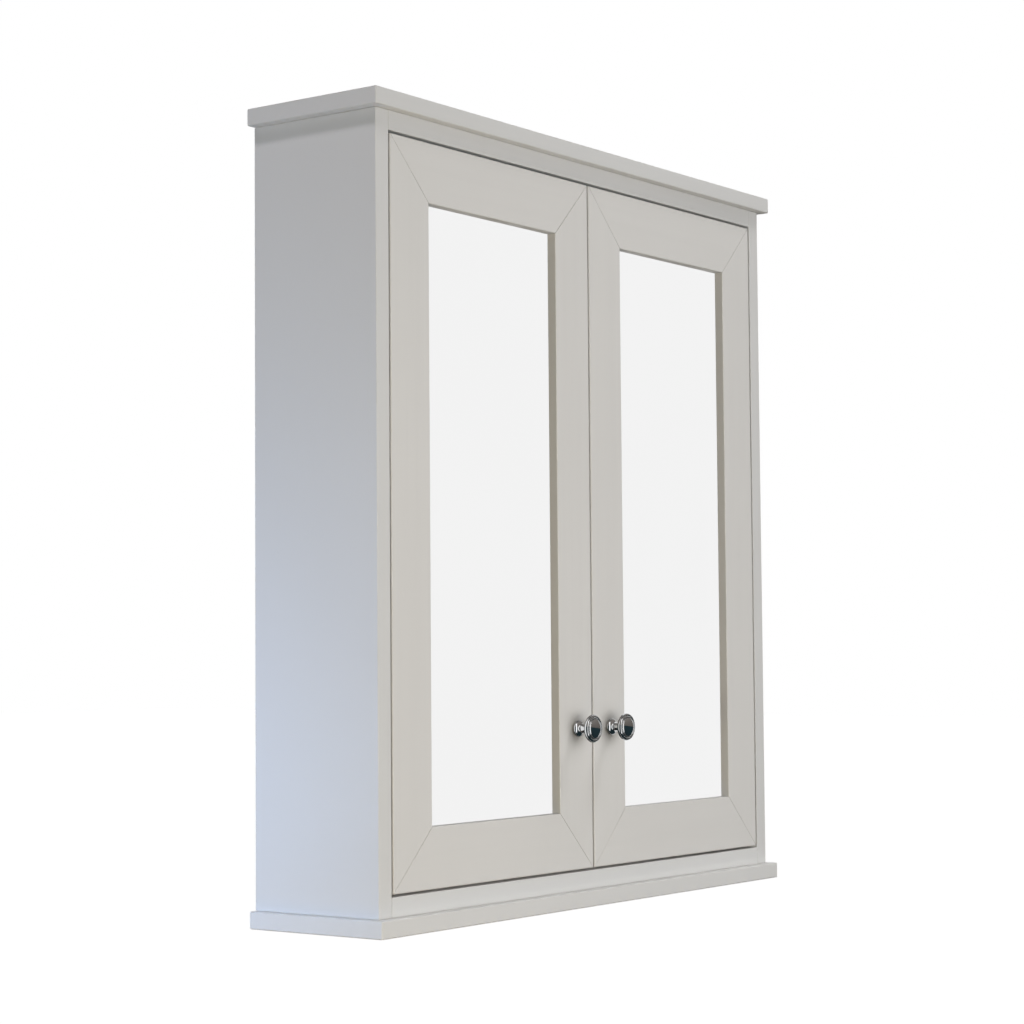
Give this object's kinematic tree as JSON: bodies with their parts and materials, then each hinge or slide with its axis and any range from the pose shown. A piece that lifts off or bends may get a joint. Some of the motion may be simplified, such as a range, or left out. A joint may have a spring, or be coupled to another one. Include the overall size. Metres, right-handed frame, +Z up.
{
  "type": "hanging wall cabinet",
  "caption": "Shallow wall-hung storage cabinet with overhanging top and bottom boards, and inset framed mirror doors on concealed hinges, opened by round knobs.",
  "frame": {"origin": "centre of the hanging rail's rear face, on the wall plane, midway between the two wall hangers", "axes": "+X to the right of someone who faces the doors, +Y into the wall, +Z up"},
  "size_m": [0.686, 0.1706, 0.75],
  "materials": {
    "painted_board": "satin off-white paint on fibreboard",
    "painted_door": "satin warm off-white paint on fibreboard",
    "raw_board": "bare fibreboard",
    "backing_board": "bare hardboard",
    "mirror": "silvered float glass",
    "chrome": "polished chrome plating",
    "nickel": "satin nickel plating",
    "zinc_plate": "zinc plating",
    "white_plastic": "moulded white plastic",
    "ferrite": "bare ferrite magnet"
  },
  "bodies": {
    "carcass": {"cap_board": "painted_board", "base_board": "painted_board", "top_panel": "painted_board", "bottom_panel": "painted_board", "back_panel": "painted_board", "side_panel_left": "painted_board", "side_panel_right": "painted_board", "hanging_rail": "raw_board", "lower_rail": "raw_board", "wall_hanger_left": "zinc_plate", "wall_hanger_right": "zinc_plate", "shelf_lower": "painted_board", "shelf_upper": "painted_board", "shelf_pin_lower_left_front": "nickel", "shelf_pin_lower_left_back": "nickel", "shelf_pin_lower_right_front": "nickel", "shelf_pin_lower_right_back": "nickel", "shelf_pin_upper_left_front": "nickel", "shelf_pin_upper_left_back": "nickel", "shelf_pin_upper_right_front": "nickel", "shelf_pin_upper_right_back": "nickel", "catch_housing": "white_plastic", "catch_magnet_left": "ferrite", "catch_magnet_right": "ferrite", "hinge_plate_left_lower": "nickel", "hinge_arm_left_lower": "nickel", "hinge_plate_left_upper": "nickel", "hinge_arm_left_upper": "nickel", "hinge_plate_right_lower": "nickel", "hinge_arm_right_lower": "nickel", "hinge_plate_right_upper": "nickel", "hinge_arm_right_upper": "nickel"},
    "door_left": {"hinge_stile_left": "painted_door", "lock_stile_left": "painted_door", "top_rail_left": "painted_door", "bottom_rail_left": "painted_door", "mirror_left": "mirror", "mirror_backing_left": "backing_board", "knob_left": "chrome", "knob_screw_left": "zinc_plate", "strike_plate_left": "zinc_plate", "hinge_cup_left_lower": "nickel", "hinge_pin_left_lower": "nickel", "hinge_cup_left_upper": "nickel", "hinge_pin_left_upper": "nickel"},
    "door_right": {"hinge_stile_right": "painted_door", "lock_stile_right": "painted_door", "top_rail_right": "painted_door", "bottom_rail_right": "painted_door", "mirror_right": "mirror", "mirror_backing_right": "backing_board", "knob_right": "chrome", "knob_screw_right": "zinc_plate", "strike_plate_right": "zinc_plate", "hinge_cup_right_lower": "nickel", "hinge_pin_right_lower": "nickel", "hinge_cup_right_upper": "nickel", "hinge_pin_right_upper": "nickel"}
  },
  "joints": [
    {"name": "door_left_hinge", "type": "hinge", "parent": "carcass", "child": "door_left", "pos_m": [-0.291, -0.137, -0.306], "axis": [0, 0, -1], "range_deg": [0, 95]},
    {"name": "door_right_hinge", "type": "hinge", "parent": "carcass", "child": "door_right", "pos_m": [0.291, -0.137, -0.306], "axis": [0, 0, 1], "range_deg": [0, 95]}
  ]
}
